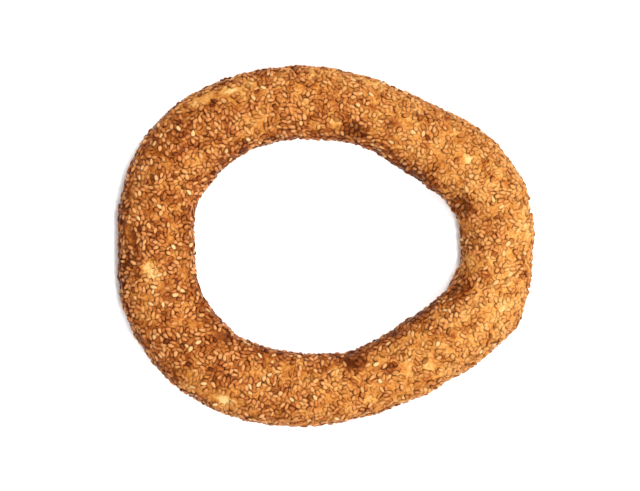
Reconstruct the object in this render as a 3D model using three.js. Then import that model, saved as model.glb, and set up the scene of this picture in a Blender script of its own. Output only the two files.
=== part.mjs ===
// A simit: one ring of bread, rolled as a rope of two twisted strands of dough, closed into a loop and baked on a
// flat stone. The rope is a single closed solid. Millimetres, +Z up; the origin is under the middle of the ring, in
// the plane that it rests on.
import * as THREE from "three";

// The crust's loop seen from above. Its outer and inner edges are closed smooth curves through paired points, one
// pair to a section of the rope. The ring is as wide above the X axis as below it, so only the +Y half is listed,
// from the blunt +X end, round over the top, to the round -X end.
const EDGE_PAIRS = [
  { outer: [100.0, 0], inner: [65.0, 0] },
  { outer: [98.8, 17.5], inner: [63.8, 11.6] },
  { outer: [94.2, 34.4], inner: [57.2, 21.2] },
  { outer: [83.2, 47.8], inner: [48.9, 28.1] },
  { outer: [70.2, 58.3], inner: [41.0, 34.2] },
  { outer: [43.4, 72.9], inner: [26.0, 43.8] },
  { outer: [15.8, 82.6], inner: [9.8, 49.8] },
  { outer: [-14.2, 86.5], inner: [-8.0, 51.7] },
  { outer: [-45.8, 81.5], inner: [-26.9, 49.2] },
  { outer: [-75.0, 64.3], inner: [-45.8, 39.9] },
  { outer: [-94.9, 35.3], inner: [-59.6, 22.5] },
  { outer: [-100.0, 0], inner: [-62.8, 0] },
];

// The seeds that stand out of the crust on every side. The solid takes them in as one even coat.
const SEED_COAT = 0.45;

// The rope's section: an ellipse that has settled on the stone, so that its lowest part is cut off flat.
const HEIGHT_SHARE = 0.755; // the rope's height as a share of its width there
const SAG = 0.86; // height of the ellipse's middle as a share of its half height; 1 would leave no flat

// What baking leaves of the twist: two shallow grooves that wind round the rope, and slow swells along it.
const TWIST_TURNS = 4;
const TWIST_PHASE = 0.6; // radians
const GROOVE_DEPTH = 0.7;
const GROOVE_HALF_ANGLE = 0.55; // radians round the section
const SWELL_HEIGHT = 0.45;
const SWELL_COUNTS = [3, 7]; // waves round the loop

// Creases where the rope was bent into its blunt end: middle in plan, radius in plan, and depth.
const CREASES = [
  { at: [14, 55], radius: 10, depth: 1.3 },
  { at: [60, 24], radius: 11, depth: 1.3 },
  { at: [14, -55], radius: 9, depth: 1.1 },
  { at: [59, -25], radius: 11, depth: 1.1 },
];
const RELIEF_FADE = 0.3; // grooves and creases fade out over this share of the height above the stone

const RINGS = 128; // sections round the loop
const ARC_STEPS = 22; // edges over the crown of one section
const FLAT_STEPS = 4; // edges across its flat underside

// A closed curve through one edge's points and their reflections in the X axis.
function edgeCurve(edge) {
  const upper = EDGE_PAIRS.map((pair) => new THREE.Vector3(...pair[edge], 0));
  const lower = upper
    .slice(1, -1)
    .reverse()
    .map((point) => new THREE.Vector3(point.x, -point.y, 0));
  return new THREE.CatmullRomCurve3([...upper, ...lower], true, "centripetal");
}

// How far the surface stands off the plain ellipse, at an angle round the section and a share of the way along.
function twistRelief(angle, along) {
  const turned = angle - TWIST_PHASE - 2 * Math.PI * TWIST_TURNS * along;
  const fromGroove = Math.asin(Math.abs(Math.sin(turned)));
  const groove = Math.exp(-((fromGroove / GROOVE_HALF_ANGLE) ** 2));
  const swell = SWELL_COUNTS.reduce(
    (sum, count, i) => sum + Math.sin(2 * Math.PI * count * along + i + angle),
    0,
  );
  return -GROOVE_DEPTH * groove + (SWELL_HEIGHT / SWELL_COUNTS.length) * swell;
}

// How deep the creases press in at a point in plan.
function creaseDepth(x, y) {
  return CREASES.reduce((sum, { at, radius, depth }) => {
    const distance = Math.hypot(x - at[0], y - at[1]);
    return sum + depth * Math.exp(-((distance / radius) ** 2));
  }, 0);
}

// The points of one section, from the outer edge of the flat, up over the crown, down to the flat's inner edge and
// back across it. The section stands upright in the vertical plane through the two edge points.
function sectionPoints(outer, inner, along) {
  const middle = new THREE.Vector3().addVectors(outer, inner).multiplyScalar(0.5);
  const outward = new THREE.Vector3().subVectors(outer, inner);
  const halfWidth = outward.length() / 2 + SEED_COAT;
  outward.normalize();
  const halfHeight = (2 * halfWidth * HEIGHT_SHARE) / (1 + SAG);
  const middleHeight = halfHeight * SAG;
  const footAngle = -Math.asin(SAG); // where the ellipse meets the stone, on the outer side
  const place = (side, z) => middle.clone().addScaledVector(outward, side).setZ(z);

  const points = [];
  for (let i = 0; i <= ARC_STEPS; i++) {
    const angle = THREE.MathUtils.lerp(footAngle, Math.PI - footAngle, i / ARC_STEPS);
    const side = halfWidth * Math.cos(angle);
    const lift = halfHeight * Math.sin(angle);
    const height = middleHeight + lift;
    const plan = place(side, 0);
    const relief = twistRelief(angle, along) - creaseDepth(plan.x, plan.y);
    const fade = THREE.MathUtils.clamp(height / (RELIEF_FADE * 2 * halfHeight), 0, 1);
    const stretch = 1 + (relief * fade) / Math.hypot(side, lift);
    const isFoot = i === 0 || i === ARC_STEPS;
    points.push(place(side * stretch, isFoot ? 0 : middleHeight + lift * stretch));
  }
  const footSide = halfWidth * Math.cos(footAngle);
  for (let i = 1; i < FLAT_STEPS; i++) {
    points.push(place(THREE.MathUtils.lerp(-footSide, footSide, i / FLAT_STEPS), 0));
  }
  return points;
}

// Joins the sections into one closed skin of triangles.
function loftGeometry(sections) {
  const perSection = sections[0].length;
  const index = [];
  for (let ring = 0; ring < sections.length; ring++) {
    const here = ring * perSection;
    const next = ((ring + 1) % sections.length) * perSection;
    for (let i = 0; i < perSection; i++) {
      const j = (i + 1) % perSection;
      index.push(here + i, next + i, next + j, here + i, next + j, here + j);
    }
  }
  const geometry = new THREE.BufferGeometry().setFromPoints(sections.flat());
  geometry.setIndex(index);
  return geometry;
}

// The whole ring, moved so that its box is centred over the origin.
function ringGeometry() {
  const outer = edgeCurve("outer");
  const inner = edgeCurve("inner");
  const sections = [];
  for (let ring = 0; ring < RINGS; ring++) {
    const along = ring / RINGS;
    sections.push(sectionPoints(outer.getPoint(along), inner.getPoint(along), along));
  }
  const geometry = loftGeometry(sections);
  geometry.computeBoundingBox();
  const centre = geometry.boundingBox.getCenter(new THREE.Vector3());
  geometry.translate(-centre.x, -centre.y, -geometry.boundingBox.min.z);
  geometry.computeVertexNormals();
  return geometry;
}

const crust = new THREE.MeshStandardMaterial({ color: 0xc47d3f, roughness: 0.72, metalness: 0 });
const breadRing = new THREE.Mesh(ringGeometry(), crust);
breadRing.name = "bread_ring";

const simit = new THREE.Group();
simit.name = "simit";
simit.add(breadRing);

export default simit;
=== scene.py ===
"""A simit in its real size: a ring of bread that is washed with grape molasses, rolled in sesame and baked.

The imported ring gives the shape. The crust is that shape with its facets smoothed out and the fine relief of
baked dough put on. The seeds are scattered over the crust, a piece for each of the shades they toast to.
Each operator of the panel "Simit" makes one of these or the stage, and main() calls them all.
"""
import math

import bmesh
import bpy
import numpy as np
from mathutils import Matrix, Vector


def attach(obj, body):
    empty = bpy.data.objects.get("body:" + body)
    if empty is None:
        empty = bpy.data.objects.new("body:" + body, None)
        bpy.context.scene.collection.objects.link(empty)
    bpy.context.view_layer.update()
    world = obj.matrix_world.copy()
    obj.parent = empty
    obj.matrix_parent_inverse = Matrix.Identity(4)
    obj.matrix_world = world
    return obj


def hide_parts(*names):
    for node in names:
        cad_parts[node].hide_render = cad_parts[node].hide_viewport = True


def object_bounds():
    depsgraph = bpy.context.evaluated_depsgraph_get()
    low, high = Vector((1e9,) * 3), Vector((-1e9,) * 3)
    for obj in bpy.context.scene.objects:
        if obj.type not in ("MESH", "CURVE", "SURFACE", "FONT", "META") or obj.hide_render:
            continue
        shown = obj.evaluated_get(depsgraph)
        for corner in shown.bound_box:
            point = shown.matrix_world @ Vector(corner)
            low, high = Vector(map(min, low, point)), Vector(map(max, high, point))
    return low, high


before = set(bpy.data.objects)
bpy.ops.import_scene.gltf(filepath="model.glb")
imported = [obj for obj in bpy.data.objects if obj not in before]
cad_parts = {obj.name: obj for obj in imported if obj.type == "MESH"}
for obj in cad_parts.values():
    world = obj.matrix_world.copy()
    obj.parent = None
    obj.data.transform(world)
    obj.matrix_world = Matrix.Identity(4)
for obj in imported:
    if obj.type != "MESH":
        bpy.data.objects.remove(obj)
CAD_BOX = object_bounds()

bl_info = {
    "name": "Simit",
    "version": (1, 0, 0),
    "blender": (4, 5, 0),
    "location": "3D Viewport > Sidebar > Simit",
    "description": "Makes a sesame bread ring and a plain stage for it",
    "category": "Add Mesh",
}

MM = 0.001
BODY = "root"
RING = "bread_ring"
CRUST = "bread_ring_crust"

# Where the rolling left the dough bare, seen from above, in mm: the middle, the length and the width, how
# far the long side is turned from +X in degrees, how empty of seeds the patch is, and how much paler its
# crust is.
BARE_PATCHES = [
    (-52, 71.8, 42, 4.2, 16, 0.85, 0.27),
    (-46, 74.3, 11, 4.0, 12, 1.0, 0.8),
    (-49, -72.6, 48, 4.2, -17, 0.85, 0.27),
    (-47, -74.0, 12, 4.0, -12, 1.0, 0.8),
    (-81, -13.5, 6, 4.0, -35, 1.0, 0.75),
    (-83, -12.0, 13, 8.0, -35, 0.62, 0.6),
    (4.5, 59, 8, 6, 20, 0.5, 0.4),
    (4.5, -59, 8, 6, -20, 0.5, 0.4),
    (39, 59, 9, 7, -35, 0.95, 0.1),
    (39, -58, 8, 7, 35, 0.95, 0.1),
    (68, 42, 6, 4, -60, 0.9, 0.45),
    (-60, 58, 13, 7, 40, 0.7, 0.2),
]
# Where the crust is darkest: the creases of the twist, and the corners of the hole at its +X end, where the
# dark is painted shade on slopes that face away from the lights. The same numbers, without the emptiness, and
# the last is how dark.
BROWN_PATCHES = [
    (14, 55, 15, 12, -12, 1.25),
    (14, -55, 15, 12, 12, 1.25),
    (31, 58, 8, 6, 0, 0.95),
    (31, -58, 8, 6, 0, 0.95),
    (66, 19, 15, 11, -70, 1.15),
    (66, -19, 15, 11, 70, 1.15),
]
# Where the seeds lie thinner. The same numbers, and the last is the share of them that is missing.
THIN_PATCHES = [
    (48, 53, 76, 26, -38, 0.25),
    (48, -53, 76, 26, 38, 0.25),
]
# A patch is whole out to the first share of its radius and gone from the second one on.
PATCH_EDGE = (0.35, 1.35)
PATCH_WOBBLE = 0.7 * MM  # how far a patch's outline is pushed about
UNDER_LOSS = 0.35  # share of the seeds that the underside misses

# Painted shade: how much darker the inner slope is painted at the ends of the hole, and what is added along
# its sides and towards the +X end, where it faces away from the lights. How much darker the flank at the -X
# end is painted as shade, and how much less at both its sides.
INNER_SLOPE_SHADE = (0.34, 0.32, 0.48)
FLANK_SHADE = (0.9, 0.4)

# The shades that sesame toasts to, each a piece: its name, its setting for the colour, its share of the
# seeds. A shade runs from its own colour to the next one's, and the last one's to the glaze, which is partly
# painted shadow.
SEED_SHADES = [
    ("sesame_seeds_pale", "pale", 0.05),
    ("sesame_seeds_golden", "golden", 0.28),
    ("sesame_seeds_amber", "amber", 0.31),
    ("sesame_seeds_toasted", "toasted", 0.29),
    ("sesame_seeds_dark", "dark", 0.07),
]
SEED_SIDES = 8
SEED_TAPER = 0.26  # how much a seed narrows towards its point and widens towards its blunt end
DRY_SPOT = 6 * MM  # distance between the drier spots of the dough
SEED_NET = 0.4 * MM  # mesh of the net on a seed's coat, drawn coarser than the real one so that it shows

# How toasted the crust is, from 0, pale, to 1, deep brown. It starts from the mean, shifts evenly from the +X
# end to the -X end, partly as toast and partly as painted light, paler at the lit +X end and darker at the -X
# end, drifts at random (the distance between drifts in mm, and their strength), and follows the marks that
# the crust's mesh carries (the mark's name, and how much browner it makes); the "brown" mark carries painted
# shade too.
MEAN_TOAST = 0.5
END_TOASTS_AND_LIGHT = (-0.17, 0.08)
TOAST_DRIFTS = [(16, 0.26), (5, 0.36), (1.1, 0.2)]
TOAST_MARKS = [("brown", 0.36), ("pale", -0.6), ("fold", 0.12), ("under", 0.1)]

FOLD_SCALE = 0.62  # scale of the noise that the folds follow, as a share of the lumps' one
FOLD_SEED_STEP = 5.3  # from the lumps' random seed to the folds' one
FOOT_ROUNDING = 0.5 * MM  # how softly the underside runs into the flanks
SKIN_WRINKLE = 1.5 * MM  # distance between the wrinkles of the skin
SHINE_SPOT = 3 * MM  # distance between the smoother spots of the skin

# The soft boxes stand in pairs, mirrored in the X axis: the place of the +Y one and the width, in metres.
KEY_PLACE = (0.2, 0.3, 1.53)
KEY_WIDTH = 0.25
SIDE_PLACE = (0.9, 0.95, 0.9)
SIDE_WIDTH = 0.5
FLOOR_HALF_WIDTH = 3.0
FLOOR_DROP = 0.05 * MM  # keeps the floor clear of the ring's underside


def srgb(code):
    """A colour as linear red, green, blue and alpha, from sRGB hex such as D98A45."""
    parts = [int(code[i:i + 2], 16) / 255 for i in (0, 2, 4)]
    return (*[p / 12.92 if p <= 0.04045 else ((p + 0.055) / 1.055) ** 2.4 for p in parts], 1.0)


def colour_setting(name, description, code):
    """A colour that the user can pick in the panel."""
    return bpy.props.FloatVectorProperty(
        name=name, description=description, default=srgb(code), size=4, min=0, max=1, subtype="COLOR")


# --- Settings ---


class SimitCrustSettings(bpy.types.PropertyGroup):
    """Sizes and colours of the crust."""

    grain: bpy.props.FloatProperty(
        name="Mesh size", description="Width of the crust mesh's faces",
        default=0.86 * MM, min=0.5 * MM, max=4 * MM, unit="LENGTH", precision=5)
    inset: bpy.props.FloatProperty(
        name="Inset", description="How far the crust lies inside the ring, which leaves room for the seeds",
        default=0.4 * MM, min=0, max=2 * MM, unit="LENGTH", precision=5)
    lift: bpy.props.FloatProperty(
        name="Lift", description="Height of the crust's underside, which lies on the seeds pressed into it",
        default=0.4 * MM, min=0, max=2 * MM, unit="LENGTH", precision=5)
    lump_height: bpy.props.FloatProperty(
        name="Lump height", description="Height of the soft lumps that rolling by hand leaves",
        default=0.6 * MM, min=0, max=2 * MM, unit="LENGTH", precision=5)
    lump_size: bpy.props.FloatProperty(
        name="Lump size", description="Distance from one soft lump to the next",
        default=13 * MM, min=4 * MM, max=50 * MM, unit="LENGTH", precision=5)
    fold_depth: bpy.props.FloatProperty(
        name="Fold depth", description="Depth of the fine folds in the skin of the dough",
        default=0.35 * MM, min=0, max=2 * MM, unit="LENGTH", precision=5)
    blister_height: bpy.props.FloatProperty(
        name="Blister height", description="Height of the small blisters of the baked skin",
        default=0.16 * MM, min=0, max=1 * MM, unit="LENGTH", precision=5)
    blister_size: bpy.props.FloatProperty(
        name="Blister size", description="Distance from one blister to the next",
        default=3.4 * MM, min=1 * MM, max=10 * MM, unit="LENGTH", precision=5)
    random_seed: bpy.props.IntProperty(
        name="Random seed", description="Picks other lumps, folds and blisters", default=3, min=0)
    dough: colour_setting("Dough", "Colour where the dough stretched and took no wash", "C8AA70")
    golden: colour_setting("Golden crust", "Colour of the least baked crust", "C08948")
    orange: colour_setting("Orange crust", "Colour of the evenly baked crust", "AA6C2E")
    brown: colour_setting("Brown crust", "Colour of the well baked crust", "844314")
    deep: colour_setting("Deep brown crust", "Colour of the most baked crust", "4A1F06")


class SimitSeedSettings(bpy.types.PropertyGroup):
    """Sizes and scatter of the sesame seeds."""

    length: bpy.props.FloatProperty(
        name="Length", description="Length of an average seed",
        default=3.75 * MM, min=1 * MM, max=6 * MM, unit="LENGTH", precision=5)
    width: bpy.props.FloatProperty(
        name="Width", description="Width of an average seed",
        default=2.12 * MM, min=0.5 * MM, max=4 * MM, unit="LENGTH", precision=5)
    height: bpy.props.FloatProperty(
        name="Height", description="How far an average seed stands out of the crust",
        default=0.76 * MM, min=0.1 * MM, max=2 * MM, unit="LENGTH", precision=5)
    glaze_width: bpy.props.FloatProperty(
        name="Glaze width", description="Width of the dark molasses that sets round the foot of each seed",
        default=0.3 * MM, min=0, max=1 * MM, unit="LENGTH", precision=5)
    spacing: bpy.props.FloatProperty(
        name="Spacing", description="Least distance between the middles of two seeds",
        default=1.85 * MM, min=0.5 * MM, max=10 * MM, unit="LENGTH", precision=5)
    smallest: bpy.props.FloatProperty(
        name="Smallest", description="Size of the smallest seeds, as a share of the average one",
        default=0.82, min=0.2, max=1, subtype="FACTOR")
    largest: bpy.props.FloatProperty(
        name="Largest", description="Size of the largest seeds, as a share of the average one",
        default=1.16, min=1, max=2)
    tilt: bpy.props.FloatProperty(
        name="Tilt", description="Most that a seed leans out of the crust's surface",
        default=math.radians(18), min=0, max=math.radians(60), unit="ROTATION")
    spin: bpy.props.FloatProperty(
        name="Spin", description="Most that a seed turns away from lying side by side with its neighbour",
        default=0.6, min=0, max=math.pi, unit="ROTATION")
    sunk: bpy.props.FloatProperty(
        name="Sunk", description="How far the deepest seeds sit in the crust",
        default=0.4 * MM, min=0, max=2 * MM, unit="LENGTH", precision=5)
    proud: bpy.props.FloatProperty(
        name="Proud", description="How far the highest seeds sit off the crust",
        default=0.3 * MM, min=0, max=2 * MM, unit="LENGTH", precision=5)
    density: bpy.props.FloatProperty(
        name="Density", description="Seeds tried on a square metre, before those too close are left out",
        default=1e6, min=1e3, max=4e6)
    random_seed: bpy.props.IntProperty(
        name="Random seed", description="Picks another scatter of the seeds", default=7, min=0)
    pale: colour_setting("Pale seeds", "Colour of the seeds that hardly toasted", "DAB882")
    golden: colour_setting("Golden seeds", "Colour of the lightly toasted seeds", "C69057")
    amber: colour_setting("Amber seeds", "Colour of the evenly toasted seeds", "BA7A47")
    toasted: colour_setting("Toasted seeds", "Colour of the well toasted seeds", "A7642F")
    dark: colour_setting("Dark seeds", "Colour of the most toasted seeds", "803F16")
    # The glaze colour is partly set molasses and partly painted shadow, the shade where each seed meets the
    # crust.
    glaze_and_shadow: colour_setting("Glaze", "Colour of the set molasses round the foot of each seed", "461A04")


class SimitStageSettings(bpy.types.PropertyGroup):
    """The floor, the lights and the camera."""

    view_width: bpy.props.FloatProperty(
        name="View width", description="Width of what the camera sees at half the ring's height",
        default=307.2 * MM, min=0.1, max=2, unit="LENGTH")
    camera_height: bpy.props.FloatProperty(
        name="Camera height", description="Height of the camera over the floor",
        default=1.5, min=0.5, max=5, unit="LENGTH")
    camera_aside: bpy.props.FloatVectorProperty(
        name="Camera aside", description="How far the camera stands off the ring's middle, along X and Y",
        default=(-2.6 * MM, 0.3 * MM), size=2, unit="LENGTH")
    key_power: bpy.props.FloatProperty(
        name="Key lights", description="Power of each of the two high soft boxes at the +X side, in watts",
        default=16, min=0, max=500)
    side_power: bpy.props.FloatProperty(
        name="Side lights", description="Power of each of the two low soft boxes at the +X side, in watts",
        default=10, min=0, max=500)
    sky: bpy.props.FloatProperty(
        name="Room light", description="Strength of the even light from all round",
        default=0.5, min=0, max=5)
    floor_glow: bpy.props.FloatProperty(
        name="Floor glow", description="Strength of the light that shines up through the floor",
        default=0.16, min=0, max=5)
    floor: colour_setting("Floor", "Colour of the floor", "F0F0F0")


# --- Helpers ---


def add(tree, kind, inputs=None, **settings):
    """Adds one node with its settings. Each input, by name or number, takes a value, a socket, or a node,
    which gives its first output."""
    made = tree.nodes.new(kind)
    for name, value in settings.items():
        setattr(made, name, value)
    for key, value in (inputs or {}).items():
        named = key if isinstance(key, int) else next(
            i for i, s in enumerate(made.inputs) if s.name == key and s.enabled)
        if isinstance(value, bpy.types.Node):
            value = next(s for s in value.outputs if s.enabled)
        if isinstance(value, bpy.types.NodeSocket):
            tree.links.new(value, made.inputs[named])
        else:
            made.inputs[named].default_value = value
    return made


def new_tree(name, inputs):
    """An empty Geometry Nodes tree with these named inputs, its input node and its output node."""
    tree = bpy.data.node_groups.new(name, "GeometryNodeTree")
    for label, kind in [("Geometry", "Geometry"), *inputs]:
        tree.interface.new_socket(name=label, in_out="INPUT", socket_type="NodeSocket" + kind)
    tree.interface.new_socket(name="Geometry", in_out="OUTPUT", socket_type="NodeSocketGeometry")
    return tree, tree.nodes.new("NodeGroupInput"), tree.nodes.new("NodeGroupOutput")


def new_object(name, mesh):
    """A new object at the origin, in the scene."""
    piece = bpy.data.objects.new(name, mesh)
    bpy.context.scene.collection.objects.link(piece)
    return piece


def settle(piece):
    """Turns what the piece's modifiers make into its plain mesh, and removes them."""
    graph = bpy.context.evaluated_depsgraph_get()
    mesh = bpy.data.meshes.new_from_object(piece.evaluated_get(graph), depsgraph=graph)
    piece.modifiers.clear()
    piece.data = mesh
    mesh.name = piece.name
    return piece


def run_tree(piece, tree, values):
    """Runs a Geometry Nodes tree on the piece with these values for its named inputs. Keeps the result."""
    modifier = piece.modifiers.new(tree.name, "NODES")
    modifier.node_group = tree
    sockets = {s.name: s.identifier for s in tree.interface.items_tree if s.in_out == "INPUT"}
    for name, value in values.items():
        modifier[sockets[name]] = value
    return settle(piece)


def numbers(collection, attribute, width):
    """One attribute of every vertex as an array with a row for each."""
    found = np.empty(len(collection) * width, np.float32)
    collection.foreach_get(attribute, found)
    return found.reshape(-1, width)


def store(mesh, name, values):
    """Stores one number for each vertex under this name."""
    mesh.attributes.new(name, "FLOAT", "POINT").data.foreach_set("value", values.astype(np.float32))


def smooth_step(values, low, high):
    """0 up to low, 1 from high on, with a soft change between."""
    share = np.clip((values - low) / (high - low), 0, 1)
    return share * share * (3 - 2 * share)


def patch_field(points, normals, patches):
    """How strongly each point lies in one of the upper side's patches, times the patch's last number."""
    field = np.zeros(len(points))
    # Slow waves push the outlines about, so that no patch is a plain oval.
    directions = ((0.9, 0.5, 0.3), (-0.6, 1.1, 0.2), (1.7, -1.3, 0.5))
    waves = [np.sin(points @ np.array(direction) / MM) for direction in directions]
    wobble = np.stack((waves[0] + 0.6 * waves[2], waves[1] - 0.6 * waves[2]), 1) * PATCH_WOBBLE
    for x, y, length, width, turn, *_, amount in patches:
        across = points[:, :2] + wobble - np.array((x, y)) * MM
        c, s = math.cos(math.radians(turn)), math.sin(math.radians(turn))
        u = (across[:, 0] * c + across[:, 1] * s) / (length * MM / 2)
        v = (across[:, 1] * c - across[:, 0] * s) / (width * MM / 2)
        field = np.maximum(field, (1 - smooth_step(np.hypot(u, v), *PATCH_EDGE)) * amount)
    return field * smooth_step(normals[:, 2], -0.2, 0.2)


def painted_slope_shade(points, normals):
    """How much each point is painted darker as shade for its slope: the inner slopes, most on the straight
    ones towards the +X end, and the -X flank, which face away from the lights."""
    outward = points[:, :2] / np.linalg.norm(points[:, :2], axis=1)[:, None]
    beside = np.abs(points[:, 1])
    inner = smooth_step(-(normals[:, :2] * outward).sum(1), 0.35, 0.98)
    towards_end = smooth_step(points[:, 0], 0, 45 * MM)
    at_hole_ends, along_sides, at_front = INNER_SLOPE_SHADE
    inner *= at_hole_ends + smooth_step(beside, 10 * MM, 32 * MM) * (along_sides + at_front * towards_end)
    flank = smooth_step(-normals[:, 0], 0.5, 0.98) * smooth_step(-points[:, 0], 30 * MM, 90 * MM)
    in_middle, less_beside = FLANK_SHADE
    flank *= in_middle - less_beside * smooth_step(beside, 20 * MM, 55 * MM)
    return np.maximum(inner, flank)


# --- Crust ---


def crust_relief():
    """The tree that puts the relief of baked dough on the smooth ring: lumps, folds and blisters."""
    tree, given, result = new_tree("crust_relief", [
        ("Inset", "Float"), ("Lift", "Float"), ("Lump Height", "Float"), ("Lump Size", "Float"),
        ("Fold Depth", "Float"), ("Blister Height", "Float"), ("Blister Size", "Float"),
        ("Random Seed", "Float"), ("Material", "Material")])
    value = given.outputs
    normal = add(tree, "GeometryNodeInputNormal")
    place = add(tree, "GeometryNodeInputPosition")
    facing = add(tree, "ShaderNodeSeparateXYZ", {0: normal}).outputs["Z"]
    # The underside was pressed flat on the stone, so the relief fades out towards it.
    free = add(tree, "ShaderNodeMapRange", {"Value": facing, "From Min": -0.85, "From Max": -0.25},
               interpolation_type="SMOOTHSTEP")

    lump_scale = add(tree, "ShaderNodeMath", {0: 1.0, 1: value["Lump Size"]}, operation="DIVIDE")
    lumps = add(tree, "ShaderNodeTexNoise", {
        "Vector": place, "W": value["Random Seed"], "Scale": lump_scale, "Detail": 1.5, "Roughness": 0.45},
        noise_dimensions="4D")
    lump = add(tree, "ShaderNodeMapRange", {
        "Value": lumps.outputs["Fac"], "From Min": 0.25, "From Max": 0.75, "To Min": -1.0, "To Max": 1.0})
    lumps_out = add(tree, "ShaderNodeMath", {0: lump, 1: value["Lump Height"]}, operation="MULTIPLY")

    # A fold runs where a slow noise crosses its middle value, so the folds are long and never cross.
    fold_scale = add(tree, "ShaderNodeMath", {0: FOLD_SCALE, 1: value["Lump Size"]}, operation="DIVIDE")
    fold_seed = add(tree, "ShaderNodeMath", {0: value["Random Seed"], 1: FOLD_SEED_STEP}, operation="ADD")
    folds = add(tree, "ShaderNodeTexNoise", {
        "Vector": place, "W": fold_seed, "Scale": fold_scale, "Detail": 2.0, "Roughness": 0.4,
        "Distortion": 0.4}, noise_dimensions="4D")
    off_fold = add(tree, "ShaderNodeMath", {0: folds.outputs["Fac"], 1: 0.5}, operation="SUBTRACT")
    beside = add(tree, "ShaderNodeMath", {0: off_fold}, operation="ABSOLUTE")
    fold = add(tree, "ShaderNodeMapRange", {"Value": beside, "From Min": 0.035, "From Max": 0.0},
               interpolation_type="SMOOTHSTEP")
    folds_in = add(tree, "ShaderNodeMath", {0: fold, 1: value["Fold Depth"]}, operation="MULTIPLY")

    blister_scale = add(tree, "ShaderNodeMath", {0: 1.0, 1: value["Blister Size"]}, operation="DIVIDE")
    cells = add(tree, "ShaderNodeTexVoronoi", {
        "Vector": place, "W": value["Random Seed"], "Scale": blister_scale, "Smoothness": 0.6},
        voronoi_dimensions="4D", feature="SMOOTH_F1")
    blister = add(tree, "ShaderNodeMapRange", {
        "Value": cells.outputs["Distance"], "From Min": 0.15, "From Max": 0.75, "To Min": 1.0,
        "To Max": -0.4}, interpolation_type="SMOOTHSTEP")
    blisters_out = add(tree, "ShaderNodeMath", {0: blister, 1: value["Blister Height"]},
                       operation="MULTIPLY")

    relief = add(tree, "ShaderNodeMath", {0: lumps_out, 1: folds_in}, operation="SUBTRACT")
    relief = add(tree, "ShaderNodeMath", {0: relief, 1: blisters_out}, operation="ADD")
    relief = add(tree, "ShaderNodeMath", {0: relief, 1: free}, operation="MULTIPLY")
    outward = add(tree, "ShaderNodeMath", {0: relief, 1: value["Inset"]}, operation="SUBTRACT")
    offset = add(tree, "ShaderNodeVectorMath", {0: normal, "Scale": outward}, operation="SCALE")
    target = add(tree, "ShaderNodeVectorMath", {0: place, 1: offset}, operation="ADD")
    apart = add(tree, "ShaderNodeSeparateXYZ", {0: target})
    height = add(tree, "ShaderNodeMath", {0: apart.outputs["Z"], 1: value["Lift"], 2: FOOT_ROUNDING},
                 operation="SMOOTH_MAX")
    target = add(tree, "ShaderNodeCombineXYZ", {0: apart.outputs["X"], 1: apart.outputs["Y"], 2: height})
    marked = add(tree, "GeometryNodeStoreNamedAttribute", {
        "Geometry": value["Geometry"], "Name": "fold", "Value": fold})
    moved = add(tree, "GeometryNodeSetPosition", {"Geometry": marked, "Position": target})
    smooth = add(tree, "GeometryNodeSetShadeSmooth", {"Geometry": moved})
    plain = add(tree, "GeometryNodeRealizeInstances", {"Geometry": smooth})
    finished = add(tree, "GeometryNodeSetMaterial", {"Geometry": plain, "Material": value["Material"]})
    tree.links.new(finished.outputs["Geometry"], result.inputs["Geometry"])
    return tree


def smooth_ring(grain):
    """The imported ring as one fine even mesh, with the facets rounded off."""
    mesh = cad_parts[RING].data.copy()
    shape = bmesh.new()
    shape.from_mesh(mesh)
    bmesh.ops.remove_doubles(shape, verts=shape.verts, dist=0.001 * MM)
    bmesh.ops.join_triangles(shape, faces=shape.faces, angle_face_threshold=math.radians(40),
                             angle_shape_threshold=math.radians(40))
    shape.to_mesh(mesh)
    shape.free()
    mesh.materials.clear()
    ring = new_object(CRUST, mesh)
    rounding = ring.modifiers.new("rounding", "SUBSURF")
    rounding.levels = 2
    rounding.render_levels = 2
    even = ring.modifiers.new("even", "REMESH")
    even.mode = "VOXEL"
    even.voxel_size = grain
    ironed = ring.modifiers.new("ironed", "SMOOTH")
    ironed.factor = 0.5
    ironed.iterations = 8
    return settle(ring)


def toast_and_shade_pattern(tree, place):
    """How brown each place is, about 0 to 1: the oven's toast with painted light and shade in it, paler at
    the lit +X end, darker at the -X end and on the shaded slopes that the "brown" mark carries. The seeds
    take the marks over from the crust's mesh, so they toast with it."""
    along = add(tree, "ShaderNodeSeparateXYZ", {0: place}).outputs["X"]
    # The shift from the +X end to the -X end is partly toast and partly painted light.
    at_start, at_end = END_TOASTS_AND_LIGHT
    side = add(tree, "ShaderNodeMapRange", {
        "Value": along, "From Min": CAD_BOX[1].x, "From Max": CAD_BOX[0].x, "To Min": at_start,
        "To Max": at_end})
    toast = add(tree, "ShaderNodeMath", {0: side, 1: MEAN_TOAST}, operation="ADD")
    for size, strength in TOAST_DRIFTS:
        noise = add(tree, "ShaderNodeTexNoise", {
            "Vector": place, "Scale": 1 / (size * MM), "Detail": 2.0, "Roughness": 0.5})
        drift = add(tree, "ShaderNodeMapRange", {
            "Value": noise, "From Min": 0.0, "From Max": 1.0, "To Min": -strength, "To Max": strength})
        toast = add(tree, "ShaderNodeMath", {0: toast, 1: drift}, operation="ADD")
    for name, strength in TOAST_MARKS:
        mark = add(tree, "ShaderNodeAttribute", attribute_name=name).outputs["Fac"]
        part = add(tree, "ShaderNodeMath", {0: mark, 1: strength}, operation="MULTIPLY")
        toast = add(tree, "ShaderNodeMath", {0: toast, 1: part}, operation="ADD")
    return toast


def crust_colours(tree, toast):
    """The crust's colour for each toast, from raw dough to deep brown."""
    given = bpy.context.scene.simit_crust
    stops = [
        (0.0, given.dough), (0.24, given.golden), (0.44, given.orange), (0.64, given.brown),
        (0.95, given.deep), (1.0, given.deep)]
    colours = add(tree, "ShaderNodeValToRGB", {"Fac": toast})
    # The ramp starts out with its first and last stop.
    elements = colours.color_ramp.elements
    for at, colour in stops[1:-1]:
        elements.new(at)
    for element, (at, colour) in zip(elements, stops):
        element.position = at
        element.color = colour
    return colours


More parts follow.
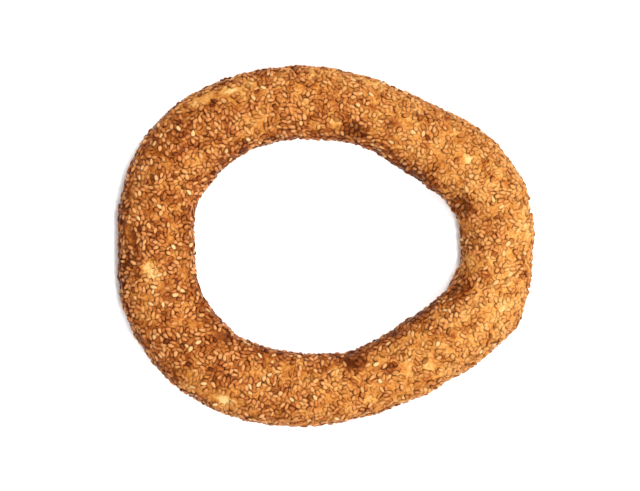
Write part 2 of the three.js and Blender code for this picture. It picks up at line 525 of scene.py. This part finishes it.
def crust_material():
    """Wheat bread crust, browned in the oven under a wash of grape molasses.

    The wash sets to a thin satin skin, so the crust is orange-brown with a faint shine. It is darker in its
    folds, and painted darker as shade in the hollows between its wrinkles. Where the dough stretched after
    the wash it is pale yellow. Its colour also carries painted light and shade: paler at the lit +X end,
    darker at the -X end and on the slopes that face away from the lights."""
    material = bpy.data.materials.new("baked_wheat_crust")
    material.use_nodes = True
    tree = material.node_tree
    tree.nodes.clear()
    place = add(tree, "ShaderNodeTexCoord").outputs["Object"]
    toast = toast_and_shade_pattern(tree, place)
    # The skin set in soft wrinkles.
    wrinkles = add(tree, "ShaderNodeTexNoise", {
        "Vector": place, "Scale": 1 / SKIN_WRINKLE, "Detail": 3.0, "Roughness": 0.6})
    bump = add(tree, "ShaderNodeBump", {"Height": wrinkles, "Strength": 0.6, "Distance": 0.5 * MM})
    # The hollows between the wrinkles are darker: partly wash that ran in and browned there, partly painted
    # shade, as the wrinkles are only a bump.
    hollow_wash_and_shade = add(tree, "ShaderNodeMapRange", {
        "Value": wrinkles.outputs["Fac"], "From Min": 0.55, "From Max": 0.35, "To Min": -0.03,
        "To Max": 0.13})
    toast = add(tree, "ShaderNodeMath", {0: toast, 1: hollow_wash_and_shade}, operation="ADD")
    # The satin skin is broken: smoother where the molasses ran together.
    shine = add(tree, "ShaderNodeTexNoise", {"Vector": place, "Scale": 1 / SHINE_SPOT, "Detail": 2.0})
    rough = add(tree, "ShaderNodeMapRange", {
        "Value": shine, "From Min": 0.35, "From Max": 0.65, "To Min": 0.4, "To Max": 0.6})
    shader = add(tree, "ShaderNodeBsdfPrincipled", {
        "Base Color": crust_colours(tree, toast), "Roughness": rough, "Normal": bump, "IOR": 1.45,
        "Specular IOR Level": 0.06})
    add(tree, "ShaderNodeOutputMaterial", {"Surface": shader})
    return material


class SIMIT_OT_crust(bpy.types.Operator):
    """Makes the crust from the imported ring."""

    bl_idname = "simit.crust"
    bl_label = "Make the crust"

    def execute(self, context):
        given = context.scene.simit_crust
        crust = smooth_ring(given.grain)
        run_tree(crust, crust_relief(), {
            "Inset": given.inset, "Lift": given.lift, "Lump Height": given.lump_height,
            "Lump Size": given.lump_size, "Fold Depth": given.fold_depth,
            "Blister Height": given.blister_height, "Blister Size": given.blister_size,
            "Random Seed": float(given.random_seed), "Material": crust_material()})
        mesh = crust.data
        if not mesh.polygons:
            raise RuntimeError("the crust came out empty")
        points = numbers(mesh.vertices, "co", 3)
        normals = numbers(mesh.vertex_normals, "vector", 3)
        bare = patch_field(points, normals, [patch[:-1] for patch in BARE_PATCHES])
        under = smooth_step(-normals[:, 2], 0.6, 0.95)
        store(mesh, "pale", patch_field(points, normals, BARE_PATCHES))
        # The "brown" mark holds the darker patches and the painted shade of the slopes.
        creases = patch_field(points, normals, BROWN_PATCHES)
        store(mesh, "brown", np.maximum(creases, painted_slope_shade(points, normals)))
        store(mesh, "under", under)
        cover = (1 - smooth_step(bare, 0.35, 0.75)) * (1 - UNDER_LOSS * under)
        store(mesh, "cover", cover * (1 - patch_field(points, normals, THIN_PATCHES)))
        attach(crust, BODY)
        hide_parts(RING)
        return {"FINISHED"}


# --- Seeds ---


def seed_shape(length, width, height, glaze_width):
    """One seed, lying with its point to +X: a domed teardrop with a foot of set molasses round it, whose dark
    colour is partly painted shadow where the seed meets the crust.

    The number stored as "rim" goes from 0 on its back to 1 on its edge and its foot. The seed's
    colour darkens with it, partly as a toasted edge and partly as painted shade on its sloping sides."""
    # Each ring: its share of the outline, how far outside it, its height and its rim number.
    rings = [
        (0.4, 0, 0.93 * height, 0.1),
        (0.74, 0, 0.69 * height, 0.42),
        (0.95, 0, 0.3 * height, 0.85),
        (1.0, glaze_width, -0.45 * height, 1.0),
    ]
    shape = bmesh.new()
    rim = shape.verts.layers.float.new("rim")
    loops = []
    for share, outside, z, mark in rings:
        loop = []
        for i in range(SEED_SIDES):
            turn = 2 * math.pi * i / SEED_SIDES
            x = (length / 2 * share + outside) * math.cos(turn)
            y = (width / 2 * share + outside) * math.sin(turn) * (1 - SEED_TAPER * math.cos(turn))
            vertex = shape.verts.new((x, y, z))
            vertex[rim] = mark
            loop.append(vertex)
        loops.append(loop)
    back = shape.verts.new((-0.05 * length, 0, height))
    for i in range(SEED_SIDES):
        shape.faces.new((back, loops[0][i], loops[0][(i + 1) % SEED_SIDES]))
        for upper, lower in zip(loops, loops[1:]):
            j = (i + 1) % SEED_SIDES
            shape.faces.new((upper[i], lower[i], lower[j], upper[j]))
    shape.faces.new(reversed(loops[-1]))
    mesh = bpy.data.meshes.new("sesame_seed")
    shape.to_mesh(mesh)
    shape.free()
    return new_object("sesame_seed", mesh)


def seed_scatter():
    """The tree that scatters seeds over a crust: random in place, turn, tilt, size and depth."""
    tree, given, result = new_tree("sesame_scatter", [
        ("Seed Shape", "Object"), ("Spacing", "Float"), ("Density", "Float"), ("Random Seed", "Int"),
        ("Shade From", "Float"), ("Shade To", "Float"), ("Tilt", "Float"), ("Spin", "Float"),
        ("Smallest", "Float"), ("Largest", "Float"), ("Sunk", "Float"), ("Proud", "Float"),
        ("Material", "Material")])
    value = given.outputs
    cover = add(tree, "GeometryNodeInputNamedAttribute", {"Name": "cover"}, data_type="FLOAT")
    # Where the dough was drier fewer seeds took hold, in spots of a few seeds' width.
    dryness = add(tree, "ShaderNodeTexNoise", {"Scale": 1 / DRY_SPOT, "Detail": 1.0})
    hold = add(tree, "ShaderNodeMapRange", {
        "Value": dryness, "From Min": 0.62, "From Max": 0.48, "To Min": 0.55})
    held = add(tree, "ShaderNodeMath", {0: cover.outputs["Attribute"], 1: hold}, operation="MULTIPLY")
    spots = add(tree, "GeometryNodeDistributePointsOnFaces", distribute_method="POISSON")
    for name, source in (("Mesh", value["Geometry"]), ("Distance Min", value["Spacing"]),
                         ("Density Max", value["Density"]), ("Density Factor", held.outputs["Value"]),
                         ("Seed", value["Random Seed"])):
        tree.links.new(source, spots.inputs[name])

    # Each thing that is drawn at random has a random seed of its own.
    draws = []
    for number in range(5):
        own_seed = add(tree, "ShaderNodeMath", {0: value["Random Seed"], 1: number + 1.0}, operation="ADD")
        draws.append(own_seed)
    shade = add(tree, "FunctionNodeRandomValue", {"Min": 0.0, "Max": 1.0, "Seed": draws[0]})
    from_on = add(tree, "FunctionNodeCompare", {"A": shade, "B": value["Shade From"]},
                  operation="GREATER_EQUAL")
    up_to = add(tree, "FunctionNodeCompare", {"A": shade, "B": value["Shade To"]}, operation="LESS_THAN")
    wanted = add(tree, "FunctionNodeBooleanMath", {0: from_on, 1: up_to}, operation="AND")

    # Each seed lies with its side to its nearest neighbour, as packed seeds do, give or take a random turn.
    here = add(tree, "GeometryNodeInputPosition")
    nearest = add(tree, "GeometryNodeIndexOfNearest", {"Position": here})
    there = add(tree, "GeometryNodeFieldAtIndex", {"Index": nearest, "Value": here},
                data_type="FLOAT_VECTOR", domain="POINT")
    aside = add(tree, "ShaderNodeVectorMath", {0: there, 1: here}, operation="SUBTRACT")
    turned = add(tree, "FunctionNodeAlignRotationToVector", {
        "Rotation": spots.outputs["Rotation"], "Vector": aside}, axis="Y", pivot_axis="Z")
    backwards = add(tree, "ShaderNodeMath", {0: value["Spin"], 1: -1.0}, operation="MULTIPLY")
    spin = add(tree, "FunctionNodeRandomValue", {"Min": backwards, "Max": value["Spin"], "Seed": draws[1]})
    spun = add(tree, "FunctionNodeAxisAngleToRotation", {"Axis": (0, 0, 1), "Angle": spin})
    turned = add(tree, "FunctionNodeRotateRotation", {"Rotation": turned, "Rotate By": spun},
                 rotation_space="LOCAL")
    lean = add(tree, "FunctionNodeRandomValue", {"Min": (-1, -1, 0), "Max": (1, 1, 0), "Seed": draws[2]},
               data_type="FLOAT_VECTOR")
    # On the underside the weight of the bread pressed the seeds in flat.
    down = add(tree, "ShaderNodeSeparateXYZ", {0: spots.outputs["Normal"]}).outputs["Z"]
    flatness = add(tree, "ShaderNodeMapRange", {
        "Value": down, "From Min": -0.9, "From Max": -0.6, "To Min": 0.4})
    tilt = add(tree, "ShaderNodeMath", {0: value["Tilt"], 1: flatness}, operation="MULTIPLY")
    lean = add(tree, "ShaderNodeVectorMath", {0: lean, "Scale": tilt}, operation="SCALE")
    leaning = add(tree, "FunctionNodeEulerToRotation", {"Euler": lean})
    turned = add(tree, "FunctionNodeRotateRotation", {"Rotation": turned, "Rotate By": leaning},
                 rotation_space="LOCAL")

    smallest = add(tree, "ShaderNodeCombineXYZ", {i: value["Smallest"] for i in range(3)})
    largest = add(tree, "ShaderNodeCombineXYZ", {i: value["Largest"] for i in range(3)})
    scale = add(tree, "FunctionNodeRandomValue", {"Min": smallest, "Max": largest, "Seed": draws[3]},
                data_type="FLOAT_VECTOR")
    press = add(tree, "ShaderNodeCombineXYZ", {0: 1.0, 1: 1.0, 2: flatness})
    scale = add(tree, "ShaderNodeVectorMath", {0: scale, 1: press}, operation="MULTIPLY")
    shape = add(tree, "GeometryNodeObjectInfo", {"Object": value["Seed Shape"]})
    seeds = add(tree, "GeometryNodeInstanceOnPoints", {
        "Points": spots.outputs["Points"], "Selection": wanted, "Instance": shape.outputs["Geometry"],
        "Rotation": turned, "Scale": scale})
    sunk = add(tree, "ShaderNodeMath", {0: value["Sunk"], 1: -1.0}, operation="MULTIPLY")
    rise = add(tree, "FunctionNodeRandomValue", {"Min": sunk, "Max": value["Proud"], "Seed": draws[4]})
    depth = add(tree, "ShaderNodeMath", {0: rise, 1: flatness}, operation="MULTIPLY")
    step = add(tree, "ShaderNodeCombineXYZ", {2: depth})
    seeds = add(tree, "GeometryNodeTranslateInstances", {"Instances": seeds, "Translation": step})
    tone = add(tree, "ShaderNodeMapRange", {
        "Value": shade, "From Min": value["Shade From"], "From Max": value["Shade To"]})
    seeds = add(tree, "GeometryNodeStoreNamedAttribute", {"Geometry": seeds, "Name": "tone", "Value": tone},
                domain="INSTANCE")
    # The deeper a seed sits, the more of the wash covers it.
    coat = add(tree, "ShaderNodeMapRange", {"Value": rise, "From Min": value["Proud"], "From Max": sunk})
    seeds = add(tree, "GeometryNodeStoreNamedAttribute", {"Geometry": seeds, "Name": "coat", "Value": coat},
                domain="INSTANCE")
    plain = add(tree, "GeometryNodeRealizeInstances", {"Geometry": seeds})
    smooth = add(tree, "GeometryNodeSetShadeSmooth", {"Geometry": plain})
    finished = add(tree, "GeometryNodeSetMaterial", {"Geometry": smooth, "Material": value["Material"]})
    tree.links.new(finished.outputs["Geometry"], result.inputs["Geometry"])
    return tree


def sesame_material(name, lighter, darker, glaze_and_shadow):
    """Unhulled sesame, toasted on the crust: oily, so it has a faint shine, and darker towards its thin edge,
    partly as toast and partly as painted shade on its sloping sides.

    A seed that lies deep took the wash and browned with the crust. The foot is molasses that drew up round
    the seed and set, dark brown, and its dark is also painted shadow where the seed meets the crust."""
    material = bpy.data.materials.new(name)
    material.use_nodes = True
    tree = material.node_tree
    tree.nodes.clear()
    place = add(tree, "ShaderNodeTexCoord").outputs["Object"]
    tone = add(tree, "ShaderNodeAttribute", attribute_name="tone").outputs["Fac"]
    coat = add(tree, "ShaderNodeAttribute", attribute_name="coat").outputs["Fac"]
    rim = add(tree, "ShaderNodeAttribute", attribute_name="rim").outputs["Fac"]
    toast = toast_and_shade_pattern(tree, place)
    # A seed's own tone counts for half, and how brown the crust is round it for the other half, so the seeds
    # take on the crust's painted light and shade too.
    browned = add(tree, "ShaderNodeMapRange", {"Value": toast, "From Min": 0.2, "From Max": 0.8})
    blend = add(tree, "ShaderNodeMix", {"Factor": 0.5, "A": tone, "B": browned}, data_type="FLOAT")
    # A Mix node's two colours are its inputs 6 and 7, and the mixed colour is its output 2.
    bare = add(tree, "ShaderNodeMix", {0: blend, 6: lighter, 7: darker}, data_type="RGBA").outputs[2]
    crust = crust_colours(tree, toast)
    # Where the crust stayed golden the wash is thinner, so seeds and glaze look more like the crust.
    thin = add(tree, "ShaderNodeMapRange", {
        "Value": toast, "From Min": 0.6, "From Max": 0.2, "To Max": 0.55})
    coated = add(tree, "ShaderNodeMapRange", {
        "Value": coat, "From Min": 0.3, "From Max": 1.0, "To Max": 0.6})
    coated = add(tree, "ShaderNodeMath", {0: coated, 1: thin}, operation="ADD")
    # Where the crust is darkest the seeds take its colour: syrup pooled over them in the creases, and on the
    # slopes painted dark as shade they are painted shaded too.
    brown = add(tree, "ShaderNodeAttribute", attribute_name="brown").outputs["Fac"]
    pooled_and_shaded = add(tree, "ShaderNodeMapRange", {
        "Value": brown, "From Min": 0.6, "From Max": 1.1, "To Max": 0.6})
    coated = add(tree, "ShaderNodeMath", {0: coated, 1: pooled_and_shaded}, operation="ADD", use_clamp=True)
    back = add(tree, "ShaderNodeMix", {0: coated, 6: bare, 7: crust}, data_type="RGBA").outputs[2]
    foot = add(tree, "ShaderNodeMix", {0: thin, 6: glaze_and_shadow, 7: crust}, data_type="RGBA").outputs[2]
    # Towards its edge the seed darkens to the foot's colour: partly toasted edge and molasses, partly painted
    # shade on its sloping sides and painted shadow at its foot.
    edge = add(tree, "ShaderNodeMapRange", {"Value": rim, "From Min": 0.24, "From Max": 1.0})
    colour = add(tree, "ShaderNodeMix", {0: edge, 6: back, 7: foot}, data_type="RGBA")
    # The seed coat is netted.
    net = add(tree, "ShaderNodeTexNoise", {"Vector": place, "Scale": 1 / SEED_NET, "Detail": 1.0})
    bump = add(tree, "ShaderNodeBump", {"Height": net, "Strength": 0.2, "Distance": 0.06 * MM})
    shader = add(tree, "ShaderNodeBsdfPrincipled", {
        "Base Color": colour.outputs[2], "Roughness": 0.3, "Normal": bump, "IOR": 1.47,
        "Specular IOR Level": 0.05})
    add(tree, "ShaderNodeOutputMaterial", {"Surface": shader})
    return material


class SIMIT_OT_seeds(bpy.types.Operator):
    """Scatters the sesame over the crust, a piece for each shade."""

    bl_idname = "simit.seeds"
    bl_label = "Scatter the seeds"

    def execute(self, context):
        given = context.scene.simit_seeds
        crust = bpy.data.objects[CRUST]
        template = seed_shape(given.length, given.width, given.height, given.glaze_width)
        tree = seed_scatter()
        colours = [getattr(given, shade) for name, shade, share in SEED_SHADES] + [given.glaze_and_shadow]
        start = 0.0
        for (name, shade, share), lighter, darker in zip(SEED_SHADES, colours, colours[1:]):
            piece = new_object(name, crust.data.copy())
            run_tree(piece, tree, {
                "Seed Shape": template, "Spacing": given.spacing, "Density": given.density,
                "Random Seed": given.random_seed, "Shade From": start, "Shade To": start + share,
                "Tilt": given.tilt, "Spin": given.spin, "Smallest": given.smallest,
                "Largest": given.largest, "Sunk": given.sunk, "Proud": given.proud,
                "Material": sesame_material(name, lighter, darker, given.glaze_and_shadow)})
            if not piece.data.polygons:
                raise RuntimeError(f"{name} came out empty")
            # These two served the scatter, and no material reads them.
            for spare in ("cover", "id"):
                piece.data.attributes.remove(piece.data.attributes[spare])
            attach(piece, BODY)
            start += share
        bpy.data.objects.remove(template)
        return {"FINISHED"}


# --- Stage ---


def soft_box(name, place, width, power):
    """A square soft box that looks at the middle of the ring."""
    light = bpy.data.lights.new(name, "AREA")
    light.shape = "SQUARE"
    light.size = width
    light.energy = power
    lamp = bpy.data.objects.new(name, light)
    lamp.location = place
    lamp.rotation_euler = (-Vector(place)).to_track_quat("-Z", "Y").to_euler()
    bpy.context.scene.collection.objects.link(lamp)


class SIMIT_OT_stage(bpy.types.Operator):
    """Makes the floor, the lights and the camera, which looks straight down."""

    bl_idname = "simit.stage"
    bl_label = "Set the stage"

    def execute(self, context):
        given = context.scene.simit_stage
        scene = context.scene
        corners = [(x * FLOOR_HALF_WIDTH, y * FLOOR_HALF_WIDTH, -FLOOR_DROP)
                   for x, y in ((-1, -1), (1, -1), (1, 1), (-1, 1))]
        mesh = bpy.data.meshes.new("floor")
        mesh.from_pydata(corners, [], [(0, 1, 2, 3)])
        # White acrylic sheet, matt and lit faintly from below, which keeps the shadows on it pale.
        acrylic = bpy.data.materials.new("lit_white_acrylic")
        acrylic.use_nodes = True
        tree = acrylic.node_tree
        tree.nodes.clear()
        shader = add(tree, "ShaderNodeBsdfPrincipled", {
            "Base Color": given.floor, "Roughness": 0.9, "Specular IOR Level": 0.1,
            "Emission Color": given.floor, "Emission Strength": given.floor_glow})
        add(tree, "ShaderNodeOutputMaterial", {"Surface": shader})
        mesh.materials.append(acrylic)
        new_object("floor", mesh)

        for name, side in (("left", 1), ("right", -1)):
            for kind, (x, y, z), width, power in (("key", KEY_PLACE, KEY_WIDTH, given.key_power),
                                                  ("side", SIDE_PLACE, SIDE_WIDTH, given.side_power)):
                soft_box(f"{kind}_light_{name}", (x, y * side, z), width, power)
        world = bpy.data.worlds.new("room")
        world.use_nodes = True
        world.node_tree.nodes.clear()
        glow = add(world.node_tree, "ShaderNodeBackground", {
            "Color": srgb("FFFFFF"), "Strength": given.sky})
        add(world.node_tree, "ShaderNodeOutputWorld", {"Surface": glow})
        scene.world = world

        lens = bpy.data.cameras.new("camera")
        half_height = (CAD_BOX[0].z + CAD_BOX[1].z) / 2
        lens.lens = lens.sensor_width * (given.camera_height - half_height) / given.view_width
        camera = bpy.data.objects.new("camera", lens)
        camera.location = (given.camera_aside[0], given.camera_aside[1], given.camera_height)
        scene.collection.objects.link(camera)
        scene.camera = camera
        scene.view_settings.view_transform = "Standard"
        return {"FINISHED"}


# --- Panel and start ---


class SIMIT_PT_panel(bpy.types.Panel):
    """The simit's settings and the buttons that make it."""

    bl_label = "Simit"
    bl_idname = "SIMIT_PT_panel"
    bl_space_type = "VIEW_3D"
    bl_region_type = "UI"
    bl_category = "Simit"

    def draw(self, context):
        for title, group, operator in (("Stage", "simit_stage", "simit.stage"),
                                       ("Crust", "simit_crust", "simit.crust"),
                                       ("Seeds", "simit_seeds", "simit.seeds")):
            box = self.layout.box()
            box.label(text=title)
            settings = getattr(context.scene, group)
            for name in settings.__annotations__:
                box.prop(settings, name)
            box.operator(operator)


SETTINGS = {
    "simit_stage": SimitStageSettings,
    "simit_crust": SimitCrustSettings,
    "simit_seeds": SimitSeedSettings,
}
CLASSES = (*SETTINGS.values(), SIMIT_OT_stage, SIMIT_OT_crust, SIMIT_OT_seeds, SIMIT_PT_panel)


def register():
    for made in CLASSES:
        bpy.utils.register_class(made)
    for name, group in SETTINGS.items():
        setattr(bpy.types.Scene, name, bpy.props.PointerProperty(type=group))


def unregister():
    for name in SETTINGS:
        delattr(bpy.types.Scene, name)
    for made in reversed(CLASSES):
        bpy.utils.unregister_class(made)


def main():
    register()
    bpy.ops.simit.stage()
    bpy.ops.simit.crust()
    bpy.ops.simit.seeds()
    bpy.context.view_layer.update()


if __name__ == "__main__":
    main()
